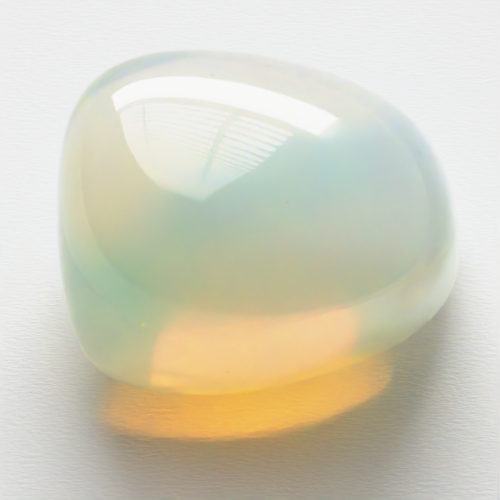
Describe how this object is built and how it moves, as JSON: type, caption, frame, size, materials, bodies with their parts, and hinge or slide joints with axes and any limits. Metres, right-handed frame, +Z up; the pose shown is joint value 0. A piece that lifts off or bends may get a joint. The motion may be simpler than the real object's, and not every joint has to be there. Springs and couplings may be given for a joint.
{
  "type": "tumbled opalite stone",
  "caption": "Polished pebble of milky opalescent glass, a blunt rounded wedge with a low crown, resting on a small flat spot underneath.",
  "frame": {"origin": "middle of the stone's bounding box in plan, on the surface that it rests on", "axes": "+X along the stone's longest way, from the blunt end to the round end; -Y towards the long sloping front; +Z up from the flat spot"},
  "size_m": [0.0306, 0.027, 0.0188],
  "materials": {
    "opalescent_glass": "mirror polish, milky and translucent: blue-green against the dark, amber where light comes through"
  },
  "bodies": {
    "root": {"opalite_stone": "opalescent_glass"}
  },
  "joints": []
}
